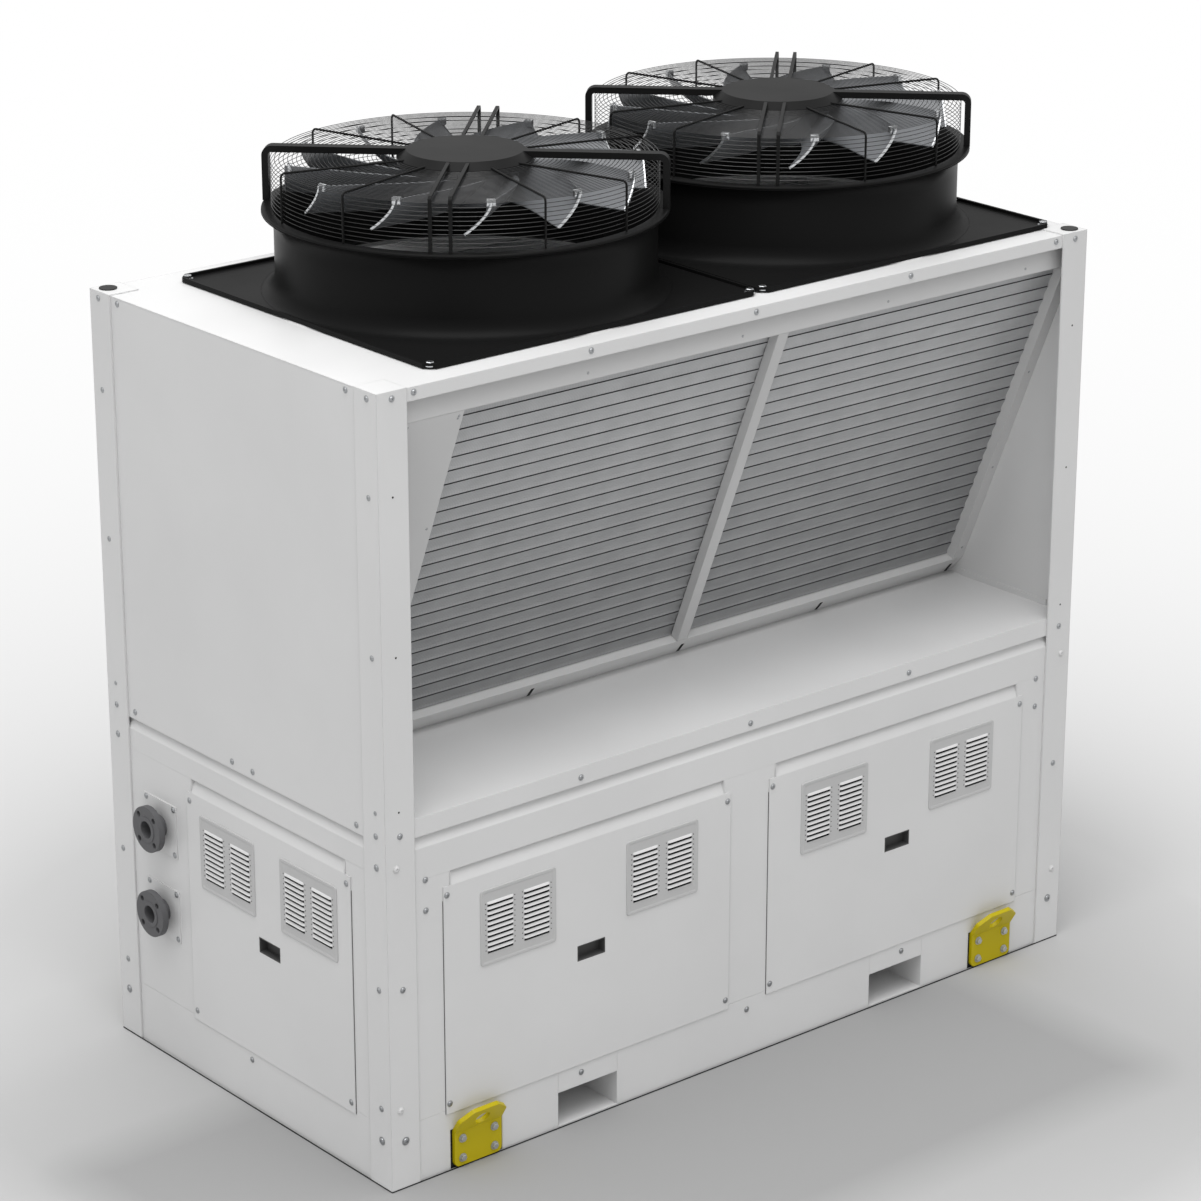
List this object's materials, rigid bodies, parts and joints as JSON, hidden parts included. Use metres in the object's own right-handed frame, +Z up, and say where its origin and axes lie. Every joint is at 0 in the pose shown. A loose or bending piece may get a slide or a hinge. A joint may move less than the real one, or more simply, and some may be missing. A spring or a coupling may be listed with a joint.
{
  "type": "air-to-water heat pump",
  "caption": "Outdoor air-to-water heat pump: tall cabinet with V-set leaning coils above louvred service panels, wire-guarded axial fans on the roof, fork tunnels and lifting eyes.",
  "frame": {"origin": "middle of the footprint on the ground", "axes": "+X along the long front, the water connections are at -X; -Y is the front that the picture shows; +Z up"},
  "size_m": [2.4446, 1.3068, 2.463],
  "materials": {
    "casing_paint": "fine orange-peel powder coat",
    "coil_fins": "bare fins in fine rows",
    "cover_plastic": "satin grey",
    "fan_black": "satin black coat",
    "flange_steel": "dark grey primer",
    "frame_zinc": "satin coat over zinc",
    "guard_black": "satin black coat on wire",
    "lug_yellow": "gloss yellow coat",
    "plug_black": "moulded",
    "pull_plastic": "moulded, fine grain",
    "rotor_grey": "cast, coated grey",
    "vent_paint": "satin powder coat"
  },
  "bodies": {
    "casing": {"base_frame": "casing_paint", "coil_back": "coil_fins", "coil_bar_back": "frame_zinc", "coil_bar_front": "frame_zinc", "coil_cheeks_back": "frame_zinc", "coil_cheeks_front": "frame_zinc", "coil_front": "coil_fins", "coil_head_back": "frame_zinc", "coil_head_front": "frame_zinc", "coil_rail_back": "frame_zinc", "coil_rail_front": "frame_zinc", "deck": "casing_paint", "drain_tray": "frame_zinc", "end_wall_left": "casing_paint", "end_wall_right": "casing_paint", "fan_bell_left": "fan_black", "fan_bell_right": "fan_black", "fan_plate_left": "fan_black", "fan_plate_right": "fan_black", "fork_pockets": "casing_paint", "guard_side_left": "guard_black", "guard_side_right": "guard_black", "guard_top_left": "guard_black", "guard_top_right": "guard_black", "lifting_lug_back_left": "lug_yellow", "lifting_lug_back_right": "lug_yellow", "lifting_lug_front_left": "lug_yellow", "lifting_lug_front_right": "lug_yellow", "motor_support_left": "guard_black", "motor_support_right": "guard_black", "panel_back_left": "casing_paint", "panel_back_right": "casing_paint", "panel_end": "casing_paint", "panel_front_left": "casing_paint", "panel_front_right": "casing_paint", "pipe_covers": "cover_plastic", "post_back_left": "casing_paint", "post_back_right": "casing_paint", "post_front_left": "casing_paint", "post_front_right": "casing_paint", "post_plugs": "plug_black", "pull_end": "pull_plastic", "pulls_back": "pull_plastic", "pulls_front": "pull_plastic", "shelf_back": "casing_paint", "shelf_front": "casing_paint", "vents_back": "vent_paint", "vents_end": "vent_paint", "vents_front": "vent_paint", "wall_back": "casing_paint", "wall_front": "casing_paint", "wall_left": "casing_paint", "wall_right": "casing_paint", "water_flange_high": "flange_steel", "water_flange_low": "flange_steel"},
    "fan_left": {"rotor_left": "rotor_grey"},
    "fan_right": {"rotor_right": "rotor_grey"}
  },
  "joints": [
    {"name": "fan_left_spin", "type": "hinge", "parent": "casing", "child": "fan_left", "pos_m": [-0.452, 0, 2.385], "axis": [0, 0, 1], "continuous": true},
    {"name": "fan_right_spin", "type": "hinge", "parent": "casing", "child": "fan_right", "pos_m": [0.618, 0, 2.385], "axis": [0, 0, 1], "continuous": true}
  ]
}
